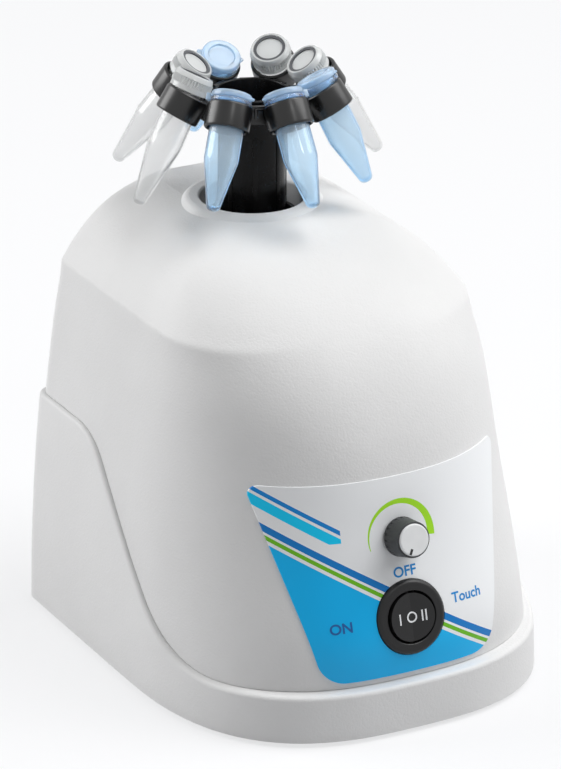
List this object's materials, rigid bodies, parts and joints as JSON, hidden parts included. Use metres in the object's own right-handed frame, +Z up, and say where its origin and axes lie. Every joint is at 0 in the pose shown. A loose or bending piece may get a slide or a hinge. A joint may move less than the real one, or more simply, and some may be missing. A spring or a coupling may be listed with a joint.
{
  "type": "vortex mixer",
  "caption": "Bench vortex mixer: domed housing with leaning control panel, rocker switch, speed knob and a cup head carrying a ring-shaped holder with leaning microtubes.",
  "frame": {"origin": "on the table, under the middle of the footprint", "axes": "+Z up, -Y to the front with the controls, +X to the right as seen from the front"},
  "size_m": [0.1272, 0.1508, 0.1814],
  "materials": {
    "housing": "fine grained light grey moulding",
    "base": "fine grained light grey moulding",
    "black_gloss": "glossy black",
    "rubber_black": "matt black rubber",
    "rubber_grey": "dark grey rubber",
    "overlay": "printed film",
    "knob_grey": "dark grey",
    "knob_disc": "light grey disc",
    "switch_black": "satin black",
    "tube_blue": "translucent blue polypropylene",
    "tube_clear": "translucent natural polypropylene",
    "cap_clear": "translucent natural polypropylene",
    "steel": "bright steel",
    "zinc": "zinc-plated steel",
    "iron": "painted cast iron",
    "aluminium": "die-cast aluminium",
    "laminations": "stacked laminations",
    "copper": "enamelled copper wire",
    "board_green": "solder mask",
    "inlet_black": "black moulding",
    "brass": "plain brass"
  },
  "bodies": {
    "stand": {"upper_housing": "housing", "base_pan": "base", "foot_rear_right": "rubber_grey", "foot_rear_left": "rubber_grey", "foot_front_right": "rubber_grey", "foot_front_left": "rubber_grey", "housing_screws": "zinc", "control_overlay": "overlay", "potentiometer": "zinc", "pot_nut": "zinc", "switch_body": "switch_black", "switch_terminals": "brass", "control_board": "board_green", "board_screws": "zinc", "heat_sink": "aluminium", "capacitor": "iron", "mains_inlet": "inlet_black", "inlet_pins": "brass", "inlet_screws": "zinc", "ballast_plate": "iron", "guide_screws": "zinc", "touch_springs": "steel", "touch_switch": "inlet_black", "touch_bracket": "zinc", "rubber_boot": "rubber_black", "boot_retainer": "switch_black"},
    "carriage": {"motor_plate": "zinc", "motor_screws": "zinc", "motor_bracket_upper": "aluminium", "motor_bracket_lower": "aluminium", "motor_stator": "laminations", "motor_windings": "copper", "motor_bearings": "steel"},
    "rotor": {"motor_rotor": "laminations", "motor_shaft": "steel", "eccentric_hub": "zinc", "hub_set_screw": "zinc", "head_bearing_inner": "steel"},
    "head": {"head_bearing_outer": "steel", "cup_head": "black_gloss", "tube_holder": "black_gloss", "cap_rings": "rubber_grey", "snap_tube_1": "tube_blue", "snap_tube_2": "tube_blue", "snap_tube_3": "tube_blue", "snap_tube_4": "tube_blue", "screw_tube_1": "tube_clear", "screw_tube_2": "tube_clear", "screw_tube_3": "tube_clear", "screw_tube_4": "tube_clear", "screw_cap_1": "cap_clear", "screw_cap_2": "cap_clear", "screw_cap_3": "cap_clear", "screw_cap_4": "cap_clear"},
    "knob": {"speed_knob": "knob_grey", "knob_cap": "knob_disc", "pot_shaft": "aluminium"},
    "rocker_body": {"rocker": "switch_black"},
    "fuse_tray": {"fuse_drawer": "inlet_black"},
    "plunger": {"touch_plunger": "inlet_black"}
  },
  "joints": [
    {"name": "touch_press", "type": "slide", "parent": "stand", "child": "carriage", "axis": [0, 0, 1], "range_m": [-0.002, 0], "stiffness_N_per_m": 4000, "springref_m": 0.006, "deforming": ["touch_springs"]},
    {"name": "motor_spin", "type": "hinge", "parent": "carriage", "child": "rotor", "pos_m": [0, 0.03228, 0.073], "axis": [0, 0, 1], "continuous": true},
    {"name": "head_hold", "type": "hinge", "parent": "rotor", "child": "head", "pos_m": [0.00094, 0.03405, 0.112], "axis": [0, 0, 1], "continuous": true},
    {"name": "knob_turn", "type": "hinge", "parent": "stand", "child": "knob", "pos_m": [0, -0.06235, 0.0592], "axis": [0, -0.9703, 0.2419], "range_deg": [-300, 0]},
    {"name": "rocker_tilt", "type": "hinge", "parent": "stand", "child": "rocker_body", "pos_m": [0, -0.06755, 0.03501], "axis": [0, 0.2419, 0.9703], "range_deg": [-10, 10]},
    {"name": "fuse_pull", "type": "slide", "parent": "stand", "child": "fuse_tray", "axis": [0, 1, 0], "range_m": [0, 0.018]},
    {"name": "plunger_press", "type": "slide", "parent": "stand", "child": "plunger", "axis": [0, 0, 1], "range_m": [-0.002, 0]}
  ],
  "couplings": [
    {"joint": "head_hold", "follows": "motor_spin", "ratio": -1},
    {"joint": "plunger_press", "follows": "touch_press", "ratio": 1}
  ]
}
